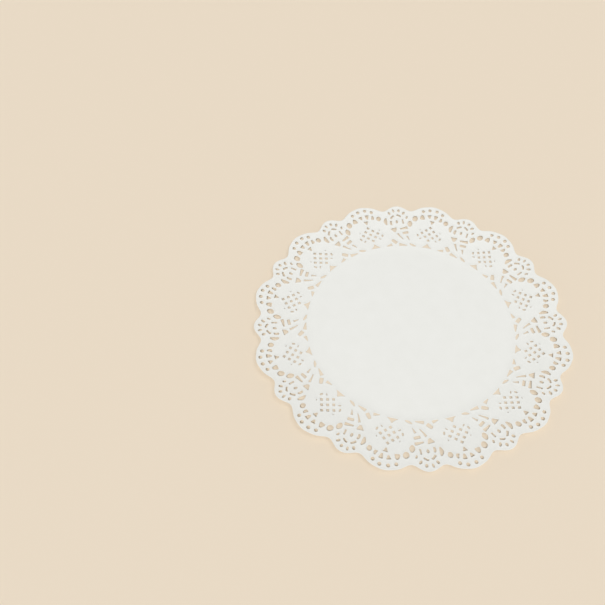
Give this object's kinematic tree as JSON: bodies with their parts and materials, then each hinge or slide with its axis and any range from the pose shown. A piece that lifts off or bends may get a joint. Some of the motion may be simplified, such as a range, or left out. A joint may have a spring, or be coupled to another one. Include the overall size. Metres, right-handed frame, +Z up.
{
  "type": "paper doily",
  "caption": "Round lace paper doily: a thin flat sheet with a plain centre, a pierced border of hearts and flowers, and a scalloped rim.",
  "frame": {"origin": "centre of the sheet's underside, where it rests", "axes": "+Z up out of the sheet, with a heart of the border on +X and on +Y"},
  "size_m": [0.2672, 0.2672, 0.001],
  "materials": {
    "paper": "matt uncoated, embossed and die-cut"
  },
  "bodies": {
    "root": {"doily": "paper"}
  },
  "joints": []
}
